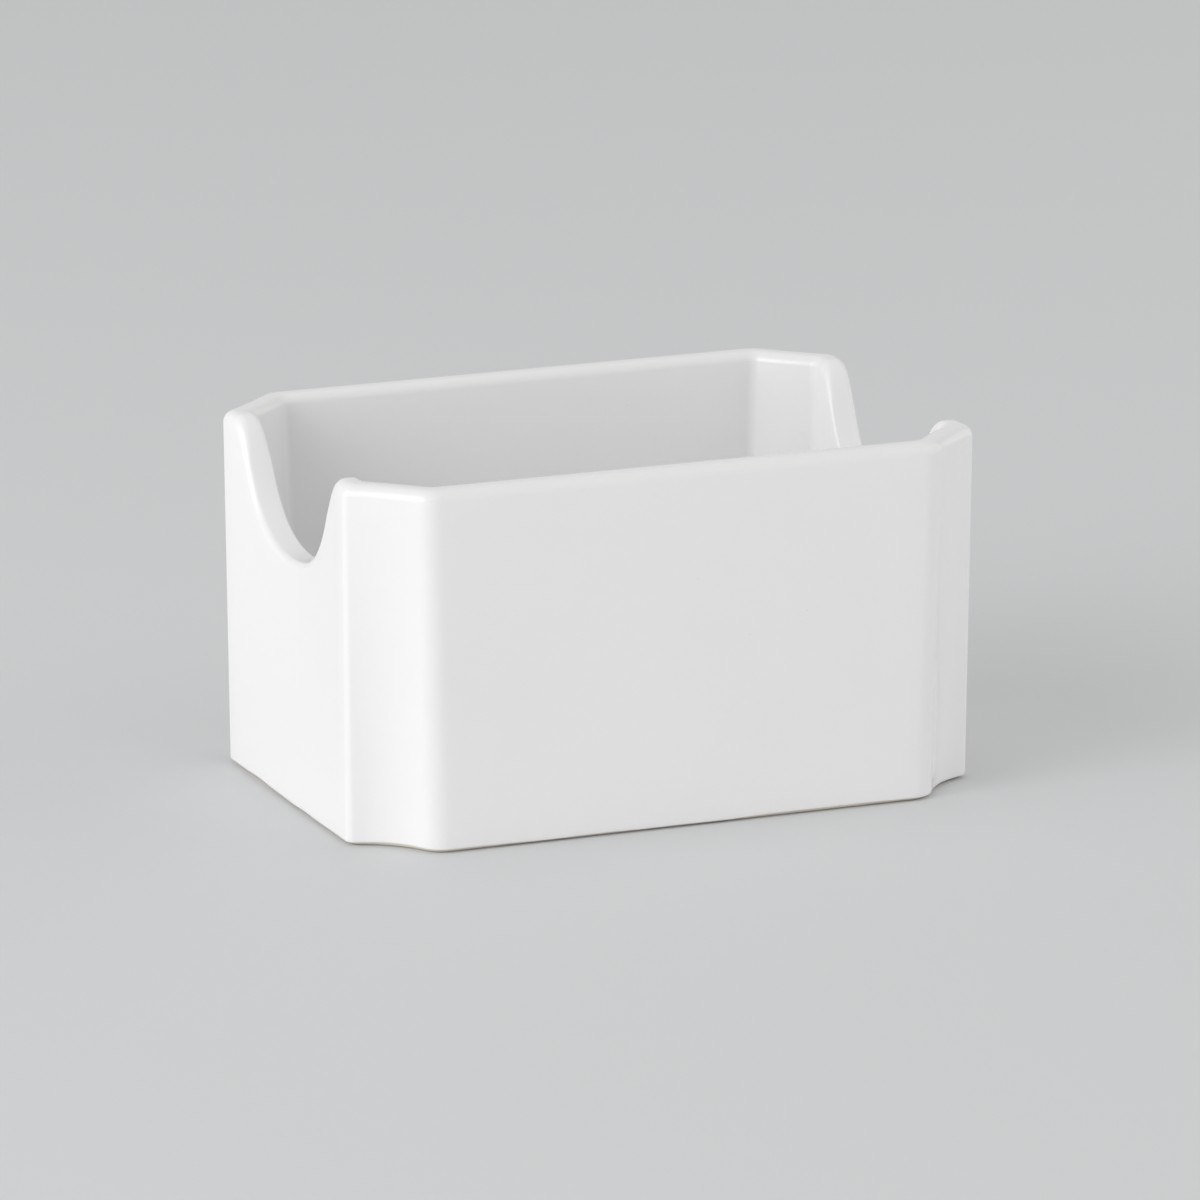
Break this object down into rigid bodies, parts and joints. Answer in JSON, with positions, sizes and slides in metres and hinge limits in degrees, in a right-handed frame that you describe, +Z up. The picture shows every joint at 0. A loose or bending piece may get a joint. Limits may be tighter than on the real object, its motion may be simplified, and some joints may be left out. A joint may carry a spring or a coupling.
{
  "type": "sugar packet holder",
  "caption": "Open rectangular box of white glazed porcelain with scooped corners and a deep finger notch in each end, for holding sugar packets on a table.",
  "frame": {"origin": "centre of the base, on the surface that the holder stands on", "axes": "+Z up; X along the long side, from notched end to notched end; Y across, with -Y the side that faces the viewer"},
  "size_m": [0.111, 0.077, 0.0605],
  "materials": {
    "bare_porcelain": "unglazed fired clay, matt and faintly warm",
    "white_glaze": "clear gloss glaze over white porcelain"
  },
  "bodies": {
    "root": {"porcelain_body": "bare_porcelain", "glaze_coat": "white_glaze", "underside_glaze": "white_glaze"}
  },
  "joints": []
}
